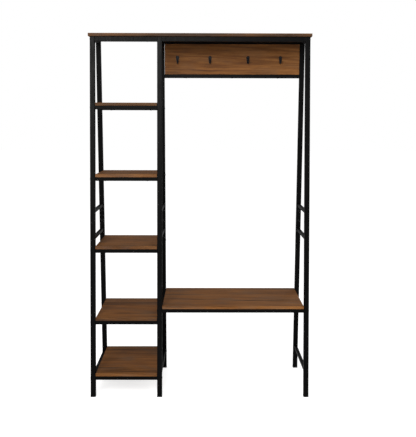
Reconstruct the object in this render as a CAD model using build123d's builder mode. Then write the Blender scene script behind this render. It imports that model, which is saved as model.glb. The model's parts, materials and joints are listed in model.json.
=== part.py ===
from build123d import *

import os
from math import atan, cos, sin
from typing import NamedTuple

os.makedirs("parts", exist_ok=True)

# A hall tree: three A-shaped side frames of square steel tube carry a narrow stack of five
# shelves on the left, a bench seat on the right, one top board and a panel with four hooks.
# Millimetres. +X is right, +Y runs from front to rear, +Z is up. The origin is on the floor,
# under the middle of the object.

# Driving dimensions
overall_height = 1829.0
floor_depth = 457.0  # over the outer faces of the legs, at the floor
top_depth = 223.0  # the same under the top board
left_frame_x = -539.5  # centre planes of the three side frames
middle_frame_x = -203.0
right_frame_x = 539.5
board_thickness = 15.0
top_overhang_side = 8.0
top_overhang_front = 9.0
shelf_tops = [1484.0, 1126.0, 764.0, 402.0, 120.0]
seat_top = 462.0
panel_bottom = 1640.0
frame_joint_height = 880.0  # where the upper and lower sections of each side frame meet
hook_height = 1716.0  # middle of a hook's plate
first_hook_from_leg = 69.5
hook_pair_spacing = 172.0
hook_middle_spacing = 201.0

# Square tubes
leg_size = 25.0
rail_size = 19.0
cross_size = 16.0
tube_wall = 1.2
leg_corner = 2.4
rail_corner = 1.8
bore_corner = 0.8

# Cross tubes of a side frame, by the height of their undersides
upper_cross_height = 927.0
lower_cross_height = 792.0
bottom_cross_under_shelf = shelf_tops[-1] - board_thickness - cross_size
bottom_cross_beside_seat = 118.0

# Fits and small parts
board_gap = 1.0
panel_gap = 1.5
edge_break = 0.8
section_gap = 0.6
cap_height = 5.0
cap_size = 26.0
cap_plug_height = 20.0
cap_round = 1.5
plug_clearance = 0.2
connector_length = 90.0
connector_wall = 2.0
connector_screw_offset = 27.0
nut_length = 18.0
bolt_radius = 3.0
bolt_clearance = 0.2
bolt_head_radius = 5.5
bolt_head_height = 1.4
socket_radius = 2.0
socket_depth = 1.0
connector_screw_radius = 2.5
connector_screw_length = 7.0
wood_screw_radius = 2.0
wood_screw_head_radius = 3.8
wood_screw_head_height = 1.2
wood_screw_bite = 10.0
head_clearance = 0.5
screw_inset_share = 0.16
slot_width = 0.9
slot_depth = 0.6
head_taper = 22.0

# Coat hooks
hook_plate_thickness = 2.5
hook_plate_top_radius = 8.5
hook_plate_bottom_radius = 5.0
hook_plate_top_centre = 12.0
hook_plate_bottom_centre = -15.5
hook_wire_radius = 3.0
hook_tip_radius = 4.2
hook_bend_radius = 5.0
hook_screw_radius = 1.5
hook_screw_head_radius = 3.2
hook_screw_head_height = 1.6
hook_screw_length = 14.0
hook_screw_heights = [13.0, 3.0]

top_underside = overall_height - board_thickness
lean_slope = (floor_depth - top_depth) / 2 / top_underside
lean = atan(lean_slope)
leg_bore = leg_size - 2 * tube_wall
frames = {"left": left_frame_x, "middle": middle_frame_x, "right": right_frame_x}
sides = {"front": -1, "rear": 1}


def outer_face_y(z):
    """Distance from the middle plane to the outer face of a leg at height z."""
    return floor_depth / 2 - z * lean_slope


def leg_centre_y(z):
    """The same for the centre line of a leg."""
    return outer_face_y(z) - leg_size / 2 / cos(lean)


def leg_plane(frame_x, side, z):
    """A plane across a leg at height z, with its normal up along the leg."""
    return Plane(
        origin=(frame_x, side * leg_centre_y(z), z),
        x_dir=(1, 0, 0),
        z_dir=(0, -side * sin(lean), cos(lean)),
    )


def leg_inner_face(frame_x, side, z):
    """The leg's face that looks at the other leg of its frame, at height z."""
    centre_plane = Plane(
        origin=(frame_x, side * leg_centre_y(z), z),
        x_dir=(1, 0, 0),
        z_dir=(0, -side * cos(lean), -sin(lean)),
    )
    return centre_plane.offset(leg_size / 2)


def save(piece, name):
    """Labels a finished piece and writes its file."""
    piece.part.label = name
    export_step(piece.part, f"parts/{name}.step")


# Rails run along X between two side frames, and are bolted through the legs


class Rail(NamedTuple):
    name: str
    start: str
    end: str
    side: int
    underside: float
    size: float
    screws: int

    @property
    def x_start(self):
        return frames[self.start] + leg_size / 2

    @property
    def x_end(self):
        return frames[self.end] - leg_size / 2

    @property
    def z_middle(self):
        return self.underside + self.size / 2

    @property
    def y(self):
        return self.side * leg_centre_y(self.z_middle)

    @property
    def screw_places(self):
        """Points along the rail where a wood screw goes up into the board above it."""
        length = self.x_end - self.x_start
        inset = length * screw_inset_share
        step = (length - 2 * inset) / (self.screws - 1)
        return [(self.x_start + inset + step * i, self.y) for i in range(self.screws)]


shelf_rails = {
    number: [
        Rail(f"shelf_{word}_rail_{number}", "left", "middle", side,
             top - board_thickness - rail_size, rail_size, 2)
        for word, side in sides.items()
    ]
    for number, top in enumerate(shelf_tops, start=1)
}
seat_rails = [
    Rail(f"seat_{word}_rail", "middle", "right", side,
         seat_top - board_thickness - rail_size, rail_size, 3)
    for word, side in sides.items()
]
top_rails = [
    Rail("top_front_rail_left", "left", "middle", -1, top_underside - leg_size, leg_size, 2),
    Rail("top_front_rail_right", "middle", "right", -1, top_underside - leg_size, leg_size, 3),
    Rail("top_rear_rail", "middle", "right", 1, top_underside - cross_size, cross_size, 3),
]
rear_rail = top_rails[-1]
panel_rail = Rail("hook_panel_rail", "middle", "right", 1, panel_bottom - rail_size, rail_size, 3)
all_rails = [rail for pair in shelf_rails.values() for rail in pair]
all_rails += seat_rails + top_rails + [panel_rail]

for rail in all_rails:
    rail_bore = rail.size - 2 * tube_wall
    with BuildPart() as rail_tube:
        with BuildSketch(Plane.YZ.offset(rail.x_start)):
            with Locations((rail.y, rail.z_middle)):
                RectangleRounded(rail.size, rail.size, rail_corner)
                RectangleRounded(rail_bore, rail_bore, bore_corner, mode=Mode.SUBTRACT)
        extrude(amount=rail.x_end - rail.x_start)
        with BuildSketch(Plane.XY.offset(rail.underside)):
            with Locations(*rail.screw_places):
                Circle(wood_screw_radius)
        extrude(amount=rail.size, mode=Mode.SUBTRACT)
    save(rail_tube, rail.name)

# Legs: each is an upper and a lower tube, joined over a sleeve


def bolt_heights(frame, side, low, high):
    """Heights of the bolts through one leg, between two heights."""
    meeting = [rail for rail in all_rails if rail.side == side and frame in (rail.start, rail.end)]
    return sorted({rail.z_middle for rail in meeting if low < rail.z_middle < high})


leg_sections = {
    "upper": (frame_joint_height + section_gap / 2, top_underside),
    "lower": (cap_height, frame_joint_height - section_gap / 2),
}
connector_screw_heights = {
    "upper": frame_joint_height + connector_screw_offset,
    "lower": frame_joint_height - connector_screw_offset,
}

for frame, frame_x in frames.items():
    for side_word, side in sides.items():
        for section, (z_low, z_high) in leg_sections.items():
            screw_face = leg_inner_face(frame_x, side, connector_screw_heights[section])
            heights = bolt_heights(frame, side, z_low, z_high)
            with BuildPart() as leg:
                with BuildSketch(leg_plane(frame_x, side, z_low - leg_size)):
                    RectangleRounded(leg_size, leg_size, leg_corner)
                    RectangleRounded(leg_bore, leg_bore, bore_corner, mode=Mode.SUBTRACT)
                extrude(amount=(z_high - z_low + 2 * leg_size) / cos(lean))
                split(bisect_by=Plane.XY.offset(z_low), keep=Keep.TOP)
                split(bisect_by=Plane.XY.offset(z_high), keep=Keep.BOTTOM)
                with BuildSketch(Plane.YZ.offset(frame_x)):
                    with Locations(*[(side * leg_centre_y(z), z) for z in heights]):
                        Circle(bolt_radius + bolt_clearance)
                extrude(amount=leg_size, both=True, mode=Mode.SUBTRACT)
                with BuildSketch(screw_face):
                    Circle(connector_screw_radius)
                extrude(amount=-2 * tube_wall, mode=Mode.SUBTRACT)
            save(leg, f"{frame}_{side_word}_leg_{section}")

# Cross tubes run along Y between the two legs of a side frame, cut to the leaning legs


class CrossTube(NamedTuple):
    name: str
    frame_x: float
    underside: float
    screw_ys: list


top_screw_ys = [-42.0, 42.0]
cross_tubes = []
for frame, frame_x in frames.items():
    bottom = bottom_cross_beside_seat if frame == "right" else bottom_cross_under_shelf
    cross_tubes += [
        CrossTube(f"{frame}_top_cross_tube", frame_x, top_underside - cross_size, top_screw_ys),
        CrossTube(f"{frame}_upper_cross_tube", frame_x, upper_cross_height, []),
        CrossTube(f"{frame}_lower_cross_tube", frame_x, lower_cross_height, []),
        CrossTube(f"{frame}_bottom_cross_tube", frame_x, bottom, []),
    ]

for cross in cross_tubes:
    z_middle = cross.underside + cross_size / 2
    half_length = leg_centre_y(z_middle)
    cross_bore = cross_size - 2 * tube_wall
    start = Plane(origin=(cross.frame_x, -half_length, z_middle), x_dir=(1, 0, 0), z_dir=(0, 1, 0))
    with BuildPart() as cross_tube:
        with BuildSketch(start):
            RectangleRounded(cross_size, cross_size, rail_corner)
            RectangleRounded(cross_bore, cross_bore, bore_corner, mode=Mode.SUBTRACT)
        extrude(amount=2 * half_length)
        for side in sides.values():
            split(bisect_by=leg_inner_face(cross.frame_x, side, z_middle), keep=Keep.TOP)
        if cross.screw_ys:
            with BuildSketch(Plane.XY.offset(cross.underside)):
                with Locations(*[(cross.frame_x, y) for y in cross.screw_ys]):
                    Circle(wood_screw_radius)
            extrude(amount=cross_size, mode=Mode.SUBTRACT)
    save(cross_tube, cross.name)

# Boards


def board(name, x_low, x_high, depth, top, screw_points):
    """A level board with eased edges, and blind holes in its underside for the wood screws."""
    underside = top - board_thickness
    with BuildPart() as plank:
        with BuildSketch(Plane.XY.offset(underside)):
            with Locations(((x_low + x_high) / 2, 0)):
                Rectangle(x_high - x_low, depth)
        extrude(amount=board_thickness)
        chamfer(plank.edges(), edge_break)
        with BuildSketch(Plane.XY.offset(underside)):
            with Locations(*screw_points):
                Circle(wood_screw_radius)
        extrude(amount=wood_screw_bite, mode=Mode.SUBTRACT)
    save(plank, name)


def screw_points_of(rails):
    return [point for rail in rails for point in rail.screw_places]


for number, top in enumerate(shelf_tops, start=1):
    board(
        f"shelf_board_{number}",
        left_frame_x + leg_size / 2 + board_gap,
        middle_frame_x - leg_size / 2 - board_gap,
        2 * outer_face_y(top),
        top,
        screw_points_of(shelf_rails[number]),
    )

board(
    "seat_board",
    middle_frame_x + leg_size / 2 + board_gap,
    right_frame_x - leg_size / 2 - board_gap,
    2 * outer_face_y(seat_top),
    seat_top,
    screw_points_of(seat_rails),
)

top_cross_screws = [(frame_x, y) for frame_x in frames.values() for y in top_screw_ys]
board(
    "top_board",
    left_frame_x - leg_size / 2 - top_overhang_side,
    right_frame_x + leg_size / 2 + top_overhang_side,
    top_depth + 2 * top_overhang_front,
    overall_height,
    screw_points_of(top_rails) + top_cross_screws,
)

# Hook panel: it leans with the rear legs, between its rail and the rear top rail, and its top
# edge has pockets for the heads of the screws that hold the top board

panel_x_low = middle_frame_x + leg_size / 2 + panel_gap
panel_x_high = right_frame_x - leg_size / 2 - panel_gap
panel_top = top_underside - cross_size
panel_bottom_y = leg_centre_y(panel_bottom)
panel_top_y = leg_centre_y(panel_top)
half_board = board_thickness / 2

hook_xs = [middle_frame_x + leg_size / 2 + first_hook_from_leg]
for spacing in (hook_pair_spacing, hook_middle_spacing, hook_pair_spacing):
    hook_xs.append(hook_xs[-1] + spacing)


def hook_face(x):
    """The panel's front face at a hook: local Y is up the panel and local Z is out of it."""
    return Plane(
        origin=(x, leg_centre_y(hook_height) - half_board, hook_height),
        x_dir=(1, 0, 0),
        z_dir=(0, -cos(lean), -sin(lean)),
    )


hook_screw_points = [(0, height) for height in hook_screw_heights]

with BuildPart() as hook_panel:
    with BuildSketch(Plane.YZ.offset(panel_x_low)):
        with BuildLine():
            Polyline(
                (panel_bottom_y - half_board, panel_bottom),
                (panel_bottom_y + half_board, panel_bottom),
                (panel_top_y + half_board, panel_top),
                (panel_top_y - half_board, panel_top),
                close=True,
            )
        make_face()
    extrude(amount=panel_x_high - panel_x_low)
    chamfer(hook_panel.edges(), edge_break)
    with BuildSketch(Plane.XY.offset(panel_bottom)):
        with Locations(*panel_rail.screw_places):
            Circle(wood_screw_radius)
    extrude(amount=wood_screw_bite, mode=Mode.SUBTRACT)
    with BuildSketch(Plane.XY.offset(panel_top)):
        with Locations(*rear_rail.screw_places):
            Circle(wood_screw_head_radius + head_clearance)
    extrude(amount=-wood_screw_head_height - head_clearance, mode=Mode.SUBTRACT)
    for x in hook_xs:
        with BuildSketch(hook_face(x)):
            with Locations(*hook_screw_points):
                Circle(hook_screw_radius)
        extrude(amount=-hook_screw_length, mode=Mode.SUBTRACT)
save(hook_panel, "hook_panel")

# Coat hooks: a tapered plate with a bent prong that ends in a ball

for number, x in enumerate(hook_xs, start=1):
    face = hook_face(x)
    prong_plane = Plane(origin=face.origin, x_dir=face.z_dir, z_dir=(-1, 0, 0))
    with BuildPart() as coat_hook:
        with BuildSketch(face):
            with Locations((0, hook_plate_top_centre)):
                Circle(hook_plate_top_radius)
            with Locations((0, hook_plate_bottom_centre)):
                Circle(hook_plate_bottom_radius)
            make_hull()
        extrude(amount=hook_plate_thickness)
        with BuildLine(prong_plane) as prong_line:
            FilletPolyline((1, -6), (10, -15.5), (20, -14), (25, 0), radius=hook_bend_radius)
        with BuildSketch(Plane(origin=prong_line.line @ 0, z_dir=prong_line.line % 0)):
            Circle(hook_wire_radius)
        sweep(path=prong_line.line)
        with Locations(prong_line.line @ 1):
            Sphere(hook_tip_radius)
        split(bisect_by=face, keep=Keep.TOP)
        with BuildSketch(face):
            with Locations(*hook_screw_points):
                Circle(hook_screw_radius)
        extrude(amount=hook_plate_thickness, mode=Mode.SUBTRACT)
    save(coat_hook, f"coat_hook_{number}")

# Fasteners: each group is one piece with a separate solid for each fastener


def screw(head_plane, radius, length, head_radius, head_height):
    """Adds a screw to the part being built: its head stands on the plane, its shank goes below."""
    with BuildSketch(head_plane) as shank:
        Circle(radius)
    extrude(shank.sketch, amount=-length)
    with BuildSketch(head_plane) as head:
        Circle(head_radius)
    extrude(head.sketch, amount=head_height, taper=head_taper)


def socket_head(head_plane, head_height):
    """Cuts a hexagon socket in a head."""
    with BuildSketch(head_plane.offset(head_height)) as socket:
        RegularPolygon(socket_radius, 6)
    extrude(socket.sketch, amount=-socket_depth, mode=Mode.SUBTRACT)


def cross_head(head_plane, head_radius, head_height):
    """Cuts a cross recess in a head."""
    with BuildSketch(head_plane.offset(head_height)) as recess:
        Rectangle(head_radius, slot_width)
        Rectangle(slot_width, head_radius)
    extrude(recess.sketch, amount=-slot_depth, mode=Mode.SUBTRACT)


class RailEnd(NamedTuple):
    rail: Rail
    x: float
    outward: int  # -1 at the rail's left end, 1 at its right end


rail_ends = [RailEnd(rail, rail.x_start, -1) for rail in all_rails]
rail_ends += [RailEnd(rail, rail.x_end, 1) for rail in all_rails]


def shares_stud(end):
    """The two front top rails meet the middle leg at one height, so a stud joins both."""
    from_left = end.rail.name == "top_front_rail_left" and end.outward == 1
    from_right = end.rail.name == "top_front_rail_right" and end.outward == -1
    return from_left or from_right


with BuildPart() as rail_nuts:
    for end in rail_ends:
        nut_size = end.rail.size - 2 * tube_wall
        with BuildSketch(Plane.YZ.offset(end.x)):
            with Locations((end.rail.y, end.rail.z_middle)):
                RectangleRounded(nut_size, nut_size, bore_corner)
                Circle(bolt_radius, mode=Mode.SUBTRACT)
        extrude(amount=-end.outward * nut_length)
save(rail_nuts, "rail_nuts")

with BuildPart() as rail_bolts:
    for end in rail_ends:
        if shares_stud(end):
            continue
        head_plane = Plane(
            origin=(end.x + end.outward * leg_size, end.rail.y, end.rail.z_middle),
            x_dir=(0, 1, 0),
            z_dir=(end.outward, 0, 0),
        )
        screw(head_plane, bolt_radius, leg_size + nut_length, bolt_head_radius, bolt_head_height)
        socket_head(head_plane, bolt_head_height)
save(rail_bolts, "rail_bolts")

with BuildPart() as top_rail_stud:
    with BuildSketch(Plane.YZ.offset(middle_frame_x)):
        with Locations((top_rails[0].y, top_rails[0].z_middle)):
            Circle(bolt_radius)
    extrude(amount=leg_size / 2 + nut_length, both=True)
save(top_rail_stud, "top_rail_stud")

connector_size = leg_bore - plug_clearance
connector_bore = connector_size - 2 * connector_wall

with BuildPart() as leg_connectors:
    for frame_x in frames.values():
        for side in sides.values():
            low_end = frame_joint_height - connector_length / 2
            with BuildSketch(leg_plane(frame_x, side, low_end)):
                RectangleRounded(connector_size, connector_size, bore_corner)
                RectangleRounded(connector_bore, connector_bore, bore_corner, mode=Mode.SUBTRACT)
            extrude(amount=connector_length)
            for height in connector_screw_heights.values():
                with BuildSketch(leg_inner_face(frame_x, side, height)):
                    Circle(connector_screw_radius)
                extrude(amount=-connector_screw_length, mode=Mode.SUBTRACT)
save(leg_connectors, "leg_connectors")

with BuildPart() as connector_screws:
    for frame_x in frames.values():
        for side in sides.values():
            for height in connector_screw_heights.values():
                face = leg_inner_face(frame_x, side, height)
                screw(face, connector_screw_radius, connector_screw_length,
                      bolt_head_radius, bolt_head_height)
                socket_head(face, bolt_head_height)
save(connector_screws, "connector_screws")

wood_screw_places = [
    (x, y, rail.underside, rail.size) for rail in all_rails for x, y in rail.screw_places
]
wood_screw_places += [
    (cross.frame_x, y, cross.underside, cross_size) for cross in cross_tubes for y in cross.screw_ys
]

with BuildPart() as board_screws:
    for x, y, z, tube_height in wood_screw_places:
        head_plane = Plane(origin=(x, y, z), x_dir=(1, 0, 0), z_dir=(0, 0, -1))
        screw(head_plane, wood_screw_radius, tube_height + wood_screw_bite,
              wood_screw_head_radius, wood_screw_head_height)
        cross_head(head_plane, wood_screw_head_radius, wood_screw_head_height)
save(board_screws, "board_screws")

with BuildPart() as hook_screws:
    for x in hook_xs:
        for height in hook_screw_heights:
            front = hook_face(x).offset(hook_plate_thickness)
            head_plane = Plane(
                origin=front.from_local_coords((0, height, 0)), x_dir=front.x_dir, z_dir=front.z_dir
            )
            screw(head_plane, hook_screw_radius, hook_plate_thickness + hook_screw_length,
                  hook_screw_head_radius, hook_screw_head_height)
            cross_head(head_plane, hook_screw_head_radius, hook_screw_head_height)
save(hook_screws, "hook_screws")

# Foot caps: a rounded pad under each leg, with a plug up inside the tube

with BuildPart() as foot_caps:
    plug_size = leg_bore - plug_clearance
    for frame_x in frames.values():
        for side in sides.values():
            with BuildSketch(Plane.XY):
                with Locations((frame_x, side * leg_centre_y(cap_height))):
                    RectangleRounded(cap_size, cap_size, leg_corner)
            extrude(amount=cap_height)
            with BuildSketch(leg_plane(frame_x, side, cap_height / 2)):
                RectangleRounded(plug_size, plug_size, bore_corner)
            extrude(amount=cap_plug_height)
    fillet(foot_caps.edges().group_by(Axis.Z)[0], radius=cap_round)
save(foot_caps, "foot_caps")
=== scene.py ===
"""Materials, camera, light and small detail for the hall tree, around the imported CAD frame."""
import json
import math
import random

import bmesh
import bpy
from mathutils import Matrix, Vector


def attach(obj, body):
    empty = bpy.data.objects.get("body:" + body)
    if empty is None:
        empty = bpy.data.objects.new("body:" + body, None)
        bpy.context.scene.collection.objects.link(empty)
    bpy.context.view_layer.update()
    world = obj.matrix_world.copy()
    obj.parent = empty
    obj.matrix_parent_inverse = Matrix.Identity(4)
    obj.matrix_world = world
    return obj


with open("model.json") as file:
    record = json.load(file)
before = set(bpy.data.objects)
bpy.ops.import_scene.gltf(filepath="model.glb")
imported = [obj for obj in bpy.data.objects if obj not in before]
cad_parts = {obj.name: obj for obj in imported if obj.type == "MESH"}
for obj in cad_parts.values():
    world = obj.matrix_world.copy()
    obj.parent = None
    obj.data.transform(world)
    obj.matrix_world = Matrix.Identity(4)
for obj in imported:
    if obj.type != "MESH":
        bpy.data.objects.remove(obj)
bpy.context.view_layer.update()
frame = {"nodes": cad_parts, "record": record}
nodes = frame["nodes"]
scene = bpy.context.scene

# Weld beads
MM = 0.001
BEAD_RADIUS = 1.5 * MM
BEAD_STEP = 2.4 * MM
BEAD_WOBBLE = 0.2 * BEAD_RADIUS
BEAD_STRETCH = 1.25

# Board finish: how dark the veins get, how much grey haze, and bands of grain per metre
PANEL_GRAIN = (0.82, 0.25, 60.0)
BOARD_GRAIN = (0.30, 0.55, 18.0)

# Share of each pattern in the wood's shade
FIGURE_SHARE = 0.12
COARSE_SHARE = 0.34
FINE_SHARE = 0.42
BROAD_SHARE = 0.16

# Surround: its strength as seen, in reflections, and as light on the object
SURROUND_SEEN = 1.0
SURROUND_IN_GLOSS = 0.2
SURROUND_LIT = 0.5

# Floor
FLOOR_REACH = 30.0
FLOOR_DROP = 0.5 * MM
FLOOR_GLOW = 0.74

# Colours, as linear light
WOOD_DARK = (0.082, 0.028, 0.0065, 1)
WOOD_MID = (0.165, 0.063, 0.0145, 1)
WOOD_LIGHT = (0.270, 0.115, 0.033, 1)
WOOD_HAZE = (0.108, 0.060, 0.033, 1)
BLACK_COAT = (0.0012, 0.0012, 0.0013, 1)
HOOK_BLACK = (0.0035, 0.0035, 0.005, 1)
SCREW_BLACK = (0.007, 0.007, 0.0075, 1)
PLASTIC_BLACK = (0.004, 0.004, 0.004, 1)
# Default upright-edge multiplier: greyer edge band colour, which also darkens the edges as painted
# shade
BAND_TINT_AND_PAINTED_SHADE = (0.68, 0.72, 0.95, 1)
ZINC = (0.09, 0.09, 0.095, 1)
PALE = (0.62, 0.62, 0.62, 1)


# Shader helpers


class Graph:
    """A material's node tree, with short calls to add and join nodes."""

    def __init__(self, name):
        self.material = bpy.data.materials.new(name)
        self.material.use_nodes = True
        self.tree = self.material.node_tree
        self.tree.nodes.clear()
        self.shader = self.add("ShaderNodeBsdfPrincipled")
        output = self.add("ShaderNodeOutputMaterial")
        self.join(self.shader.outputs["BSDF"], output.inputs["Surface"])

    def add(self, kind, **values):
        node = self.tree.nodes.new(kind)
        for key, value in values.items():
            setattr(node, key, value)
        return node

    def join(self, source, target):
        self.tree.links.new(source, target)

    def place(self, scale, offset=(0, 0, 0), turn=(0, 0, 0)):
        """Object coordinates in metres, scaled and moved."""
        where = self.add("ShaderNodeTexCoord")
        mapping = self.add("ShaderNodeMapping")
        mapping.inputs["Location"].default_value = offset
        mapping.inputs["Rotation"].default_value = turn
        mapping.inputs["Scale"].default_value = scale
        self.join(where.outputs["Object"], mapping.inputs["Vector"])
        return mapping.outputs["Vector"]

    def noise(self, vector, scale, detail=4.0, roughness=0.5, distortion=0.0):
        node = self.add("ShaderNodeTexNoise")
        node.inputs["Scale"].default_value = scale
        node.inputs["Detail"].default_value = detail
        node.inputs["Roughness"].default_value = roughness
        node.inputs["Distortion"].default_value = distortion
        self.join(vector, node.inputs["Vector"])
        return node.outputs["Fac"]

    def ramp(self, value, stops):
        node = self.add("ShaderNodeValToRGB")
        elements = node.color_ramp.elements
        while len(elements) < len(stops):
            elements.new(0.5)
        for element, (place, colour) in zip(elements, stops):
            element.position = place
            element.color = colour
        self.join(value, node.inputs["Fac"])
        return node.outputs["Color"]

    def grey(self, value, low, high, low_place=0.0, high_place=1.0):
        """Maps a value from low_place..high_place to low..high."""
        node = self.add("ShaderNodeMapRange")
        node.inputs["From Min"].default_value = low_place
        node.inputs["From Max"].default_value = high_place
        node.inputs["To Min"].default_value = low
        node.inputs["To Max"].default_value = high
        self.join(value, node.inputs["Value"])
        return node.outputs["Result"]

    def math(self, operation, first, second):
        node = self.add("ShaderNodeMath", operation=operation)
        for socket, value in zip(node.inputs, (first, second)):
            if isinstance(value, (int, float)):
                socket.default_value = value
            else:
                self.join(value, socket)
        return node.outputs["Value"]

    def mix(self, factor, first, second, blend="MIX"):
        node = self.add("ShaderNodeMix", data_type="RGBA", blend_type=blend)
        sockets = (node.inputs["Factor"], node.inputs[6], node.inputs[7])
        for socket, value in zip(sockets, (factor, first, second)):
            if isinstance(value, (int, float, tuple)):
                socket.default_value = value
            else:
                self.join(value, socket)
        return node.outputs[2]

    def bump(self, height, strength, distance):
        node = self.add("ShaderNodeBump")
        node.inputs["Strength"].default_value = strength
        node.inputs["Distance"].default_value = distance
        self.join(height, node.inputs["Height"])
        self.join(node.outputs["Normal"], self.shader.inputs["Normal"])


def wood_material(name, seed, edge_tint_and_painted_light, vein_shade, haze, band):
    """Wood-grain board: fine streaks along X, dark veins, open pores, and upright edge faces
    multiplied by a tint that is the band's greyer colour together with painted highlight and shade.
    """
    g = Graph(name)
    offset = (seed * 3.7, seed * 1.9, seed * 2.3)
    figure = g.add("ShaderNodeTexWave", wave_type="BANDS", bands_direction="DIAGONAL")
    figure.inputs["Scale"].default_value = 1.6
    figure.inputs["Distortion"].default_value = 11.0
    figure.inputs["Detail"].default_value = 4.0
    figure.inputs["Detail Scale"].default_value = 1.4
    g.join(g.place((0.8, 14.0, 14.0), offset), figure.inputs["Vector"])
    coarse = g.noise(g.place((band / 12, band, band), offset), 1.0, 5.0, 0.6, 0.5)
    fine = g.noise(g.place((6.0, 300.0, 300.0), offset), 1.0, 6.0, 0.65, 0.2)
    pores = g.noise(g.place((30.0, 1100.0, 1100.0), offset), 1.0, 3.0, 0.6)
    broad = g.noise(g.place((2.4, 6.0, 6.0), offset), 1.0, 3.0, 0.55)
    value = g.math("ADD", g.math("MULTIPLY", figure.outputs["Fac"], FIGURE_SHARE),
                   g.math("MULTIPLY", coarse, COARSE_SHARE))
    value = g.math("ADD", value, g.math("MULTIPLY", fine, FINE_SHARE))
    value = g.math("ADD", value, g.math("MULTIPLY", broad, BROAD_SHARE))
    colour = g.ramp(value, [(0.34, WOOD_DARK), (0.52, WOOD_MID), (0.74, WOOD_LIGHT)])
    colour = g.mix(1.0, colour, g.grey(pores, 0.62, 1.0, 0.34, 0.46), "MULTIPLY")
    vein_place = g.place((band / 24, band * 0.7, band * 0.7), (offset[1], offset[2], offset[0]))
    veins = g.noise(vein_place, 1.0, 7.0, 0.62, 1.6)
    colour = g.mix(1.0, colour, g.grey(veins, 1.0, vein_shade, 0.53, 0.66), "MULTIPLY")
    patches = g.noise(g.place((5.0, 13.0, 13.0), offset), 1.0, 4.0, 0.6, 0.8)
    colour = g.mix(g.grey(patches, 0.0, haze, 0.46, 0.66), colour, WOOD_HAZE)
    normal = g.add("ShaderNodeSeparateXYZ")
    g.join(g.add("ShaderNodeNewGeometry").outputs["Normal"], normal.inputs["Vector"])
    upright = g.math("ABSOLUTE", normal.outputs["Z"], 0.0)
    # Upright faces take the edge multiplier: band colour together with painted edge highlight and
    # shade
    edge = g.grey(upright, 1.0, 0.0, 0.2, 0.8)
    edge_colour = g.mix(1.0, colour, edge_tint_and_painted_light, "MULTIPLY")
    g.join(g.mix(edge, colour, edge_colour), g.shader.inputs["Base Color"])
    g.join(g.grey(fine, 0.50, 0.66, 0.3, 0.7), g.shader.inputs["Roughness"])
    g.shader.inputs["Specular IOR Level"].default_value = 0.14
    g.bump(g.math("ADD", fine, g.math("MULTIPLY", pores, 0.6)), 0.22, 0.0006)
    return g.material


def coated_metal(name, colour, roughness, texture_scale, wear, gloss):
    """Powder coat: fine orange peel, faint cloudy variation and scuffs that change its gloss."""
    g = Graph(name)
    here = g.place((1, 1, 1))
    peel = g.noise(here, texture_scale, 2.0, 0.5)
    cloud = g.noise(here, 7.0, 4.0, 0.6)
    scuff = g.noise(g.place((90, 90, 14)), 1.0, 5.0, 0.7)
    lighter = tuple(c * 1.5 + wear for c in colour[:3]) + (1,)
    darker = tuple(c * 0.7 for c in colour[:3]) + (1,)
    base = g.ramp(cloud, [(0.35, darker), (0.52, colour), (0.72, lighter)])
    g.join(base, g.shader.inputs["Base Color"])
    g.join(g.grey(scuff, roughness - 0.07, roughness + 0.12, 0.3, 0.7), g.shader.inputs["Roughness"])
    g.shader.inputs["Specular IOR Level"].default_value = gloss
    g.bump(peel, 0.10, 0.0002)
    return g.material


def plastic(name, colour):
    """Moulded plastic with a fine spark-eroded grain."""
    g = Graph(name)
    grain = g.noise(g.place((1, 1, 1)), 1400.0, 3.0, 0.6)
    cloud = g.noise(g.place((1, 1, 1)), 40.0, 2.0, 0.5)
    lighter = tuple(c * 1.8 for c in colour[:3]) + (1,)
    g.join(g.ramp(cloud, [(0.3, colour), (0.75, lighter)]), g.shader.inputs["Base Color"])
    g.join(g.grey(grain, 0.5, 0.68, 0.3, 0.7), g.shader.inputs["Roughness"])
    g.bump(grain, 0.25, 0.0002)
    return g.material


def plated(name, colour):
    """Dull, dark zinc plate with drawn lines and a cloudy passivation."""
    g = Graph(name)
    lines = g.noise(g.place((40, 40, 1200)), 1.0, 3.0, 0.6)
    cloud = g.noise(g.place((1, 1, 1)), 60.0, 3.0, 0.6)
    darker = tuple(c * 0.7 for c in colour[:3]) + (1,)
    g.join(g.ramp(cloud, [(0.3, darker), (0.7, colour)]), g.shader.inputs["Base Color"])
    g.join(g.grey(lines, 0.25, 0.42), g.shader.inputs["Roughness"])
    g.shader.inputs["Metallic"].default_value = 1.0
    g.bump(lines, 0.1, 0.0002)
    return g.material


def paint(node, material):
    """Gives a CAD node its material, keeping its slots."""
    data = nodes[node].data
    if not data.materials:
        data.materials.append(material)
    for index in range(len(data.materials)):
        data.materials[index] = material


black = coated_metal(
    "black_powder_coat", BLACK_COAT, roughness=0.40, texture_scale=900.0, wear=0.0005, gloss=0.065)
hook_coat = coated_metal(
    "hook_enamel", HOOK_BLACK, roughness=0.26, texture_scale=1500.0, wear=0.001, gloss=0.2)
screw_coat = coated_metal(
    "black_zinc", SCREW_BLACK, roughness=0.36, texture_scale=1500.0, wear=0.002, gloss=0.2)
foot_plastic = plastic("foot_plastic", PLASTIC_BLACK)
zinc = plated("zinc_plate", ZINC)

slot_of = {row["node"]: row["material_slot"] for row in frame["record"]["subparts"]}
shared = {
    "black_frame": black,
    "hook_metal": hook_coat,
    "black_fasteners": screw_coat,
    "foot_plastic": foot_plastic,
    "zinc_steel": zinc,
}
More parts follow.
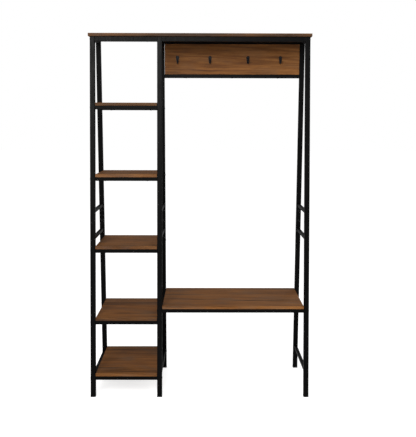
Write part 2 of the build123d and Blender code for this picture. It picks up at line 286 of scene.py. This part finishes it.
# Per-board multiplier on the upright edge faces: edge band colour together with painted highlight
# and shade, matched board by board to how light fell on each edge
edge_band_and_painted_light = {
    "hook_panel": (1.0, 1.0, 1.0, 1),
    "seat_board": (1.14, 1.18, 1.3, 1),
    "top_board": (0.58, 0.64, 0.82, 1),
    "shelf_board_1": (0.5, 0.6, 0.9, 1),
    "shelf_board_2": (0.9, 0.98, 1.3, 1),
    "shelf_board_5": (1.0, 1.05, 1.2, 1),
}
for number, name in enumerate(sorted(nodes)):
    slot = slot_of[name]
    if slot == "wood_board":
        grain = PANEL_GRAIN if name == "hook_panel" else BOARD_GRAIN
        edges = edge_band_and_painted_light.get(name, BAND_TINT_AND_PAINTED_SHADE)
        paint(name, wood_material(f"wood_{name}", number + 1, edges, *grain))
    else:
        paint(name, shared[slot])


# Weld beads where the cross tubes meet the legs


def tube_end(tube, at_rear):
    """The four outer corners of a cross tube's end, in order round the tube."""
    points = [tube.matrix_world @ vertex.co for vertex in tube.data.vertices]
    pick = max if at_rear else min
    x_low, x_high = min(p.x for p in points), max(p.x for p in points)
    z_low, z_high = min(p.z for p in points), max(p.z for p in points)
    half = (x_high - x_low) / 2
    corners = []
    for x, z in ((x_low, z_low), (x_high, z_low), (x_high, z_high), (x_low, z_high)):
        near = [p.y for p in points if abs(p.z - z) < half / 2]
        corners.append(Vector((x, pick(near), z)))
    return corners


def add_bead(mesh, corners, chance):
    """A ring of small overlapping puddles along the joint."""
    for start, end in zip(corners, corners[1:] + corners[:1]):
        count = max(3, round((end - start).length / BEAD_STEP))
        for step in range(count):
            place = start.lerp(end, (step + 0.5) / count)
            size = BEAD_RADIUS * chance.uniform(0.8, 1.15)
            wobble = Vector((chance.uniform(-1, 1), 0, chance.uniform(-1, 1))) * BEAD_WOBBLE
            shape = Matrix.Diagonal((size, size * BEAD_STRETCH, size, 1))
            form = Matrix.Translation(place + wobble) @ shape
            bmesh.ops.create_icosphere(mesh, subdivisions=2, radius=1.0, matrix=form)


def add_welds():
    chance = random.Random(7)
    for side in ("left", "middle", "right"):
        beads = bmesh.new()
        for height in ("top", "upper", "lower", "bottom"):
            tube = nodes[f"{side}_{height}_cross_tube"]
            for at_rear in (False, True):
                add_bead(beads, tube_end(tube, at_rear), chance)
        mesh = bpy.data.meshes.new(f"{side}_weld_beads")
        for face in beads.faces:
            face.smooth = True
        beads.to_mesh(mesh)
        beads.free()
        welds = bpy.data.objects.new(f"{side}_weld_beads", mesh)
        mesh.materials.append(black)
        scene.collection.objects.link(welds)
        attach(welds, "root")


add_welds()


# Stage


def stage_material():
    g = Graph("pale_stage")
    mottle = g.noise(g.place((1, 1, 1)), 3.0, 2.0)
    lighter = tuple(min(1.0, c * 1.02) for c in PALE[:3]) + (1,)
    g.join(g.ramp(mottle, [(0.3, PALE), (0.7, lighter)]), g.shader.inputs["Base Color"])
    g.shader.inputs["Roughness"].default_value = 0.9
    g.shader.inputs["Emission Color"].default_value = (1, 1, 1, 1)
    seen = g.add("ShaderNodeLightPath").outputs["Is Camera Ray"]
    g.join(g.math("MULTIPLY", seen, FLOOR_GLOW), g.shader.inputs["Emission Strength"])
    return g.material


def add_floor():
    mesh = bpy.data.meshes.new("floor")
    low, high = -FLOOR_REACH, FLOOR_REACH
    corners = [(low, low, 0), (high, low, 0), (high, high, 0), (low, high, 0)]
    mesh.from_pydata(corners, [], [(0, 1, 2, 3)])
    floor = bpy.data.objects.new("floor", mesh)
    floor.location.z = -FLOOR_DROP
    mesh.materials.append(stage_material())
    scene.collection.objects.link(floor)


add_floor()


# Camera, at the photograph's viewing angle


def add_camera():
    data = bpy.data.cameras.new("camera")
    camera = bpy.data.objects.new("camera", data)
    scene.collection.objects.link(camera)
    scene.camera = camera
    image_width, image_height = 416.0, 437.0
    focal_pixels = 708.43
    data.sensor_width = 36.0
    data.lens = focal_pixels / image_height * data.sensor_width
    centre_x, centre_y = 208.14, 187.08
    data.shift_x = (image_width / 2 - centre_x) / image_height
    data.shift_y = (centre_y - image_height / 2) / image_height
    camera.location = (0.02134, -3.70447, 1.38948)
    pitch, yaw, roll = math.radians(5.27), math.radians(0.32), math.radians(-0.13)
    forward = Vector((math.sin(yaw) * math.cos(pitch), math.cos(yaw) * math.cos(pitch),
                      -math.sin(pitch)))
    right = Vector((math.cos(yaw), -math.sin(yaw), 0))
    down = forward.cross(right)
    right, down = (right * math.cos(roll) + down * math.sin(roll),
                   down * math.cos(roll) - right * math.sin(roll))
    axes = Matrix((right, -down, -forward)).transposed()
    camera.rotation_mode = "QUATERNION"
    camera.rotation_quaternion = axes.to_quaternion()
    data.clip_end = 100.0


add_camera()


# Light: a white surround and soft boxes


def add_light(name, place, target, size, power, shade=(1, 1, 1)):
    data = bpy.data.lights.new(name, "AREA")
    data.shape = "RECTANGLE"
    data.size, data.size_y = size
    data.energy = power
    data.color = shade
    light = bpy.data.objects.new(name, data)
    light.location = place
    aim = Vector(target) - Vector(place)
    light.rotation_mode = "QUATERNION"
    light.rotation_quaternion = aim.to_track_quat("-Z", "Y")
    scene.collection.objects.link(light)


def add_surround():
    """A white surround, with its own strength as seen, in reflections, and as light."""
    world = bpy.data.worlds.new("surround")
    world.use_nodes = True
    tree = world.node_tree
    background = tree.nodes["Background"]
    background.inputs["Color"].default_value = (1, 1, 1, 1)
    path = tree.nodes.new("ShaderNodeLightPath")
    gloss = tree.nodes.new("ShaderNodeMix")
    tree.links.new(path.outputs["Is Glossy Ray"], gloss.inputs["Factor"])
    gloss.inputs["A"].default_value = SURROUND_LIT
    gloss.inputs["B"].default_value = SURROUND_IN_GLOSS
    view = tree.nodes.new("ShaderNodeMix")
    tree.links.new(path.outputs["Is Camera Ray"], view.inputs["Factor"])
    tree.links.new(gloss.outputs["Result"], view.inputs["A"])
    view.inputs["B"].default_value = SURROUND_SEEN
    tree.links.new(view.outputs["Result"], background.inputs["Strength"])
    scene.world = world


add_surround()
scene.view_settings.view_transform = "Standard"

middle = (0, 0, 0.95)
add_light("key", (-0.9, -3.6, 3.0), middle, (2.0, 2.2), 170, (1.0, 0.985, 0.96))
add_light("fill", (2.6, -3.2, 1.9), middle, (1.4, 1.6), 24)
add_light("rim", (2.4, 3.2, 3.0), middle, (1.6, 1.0), 25)
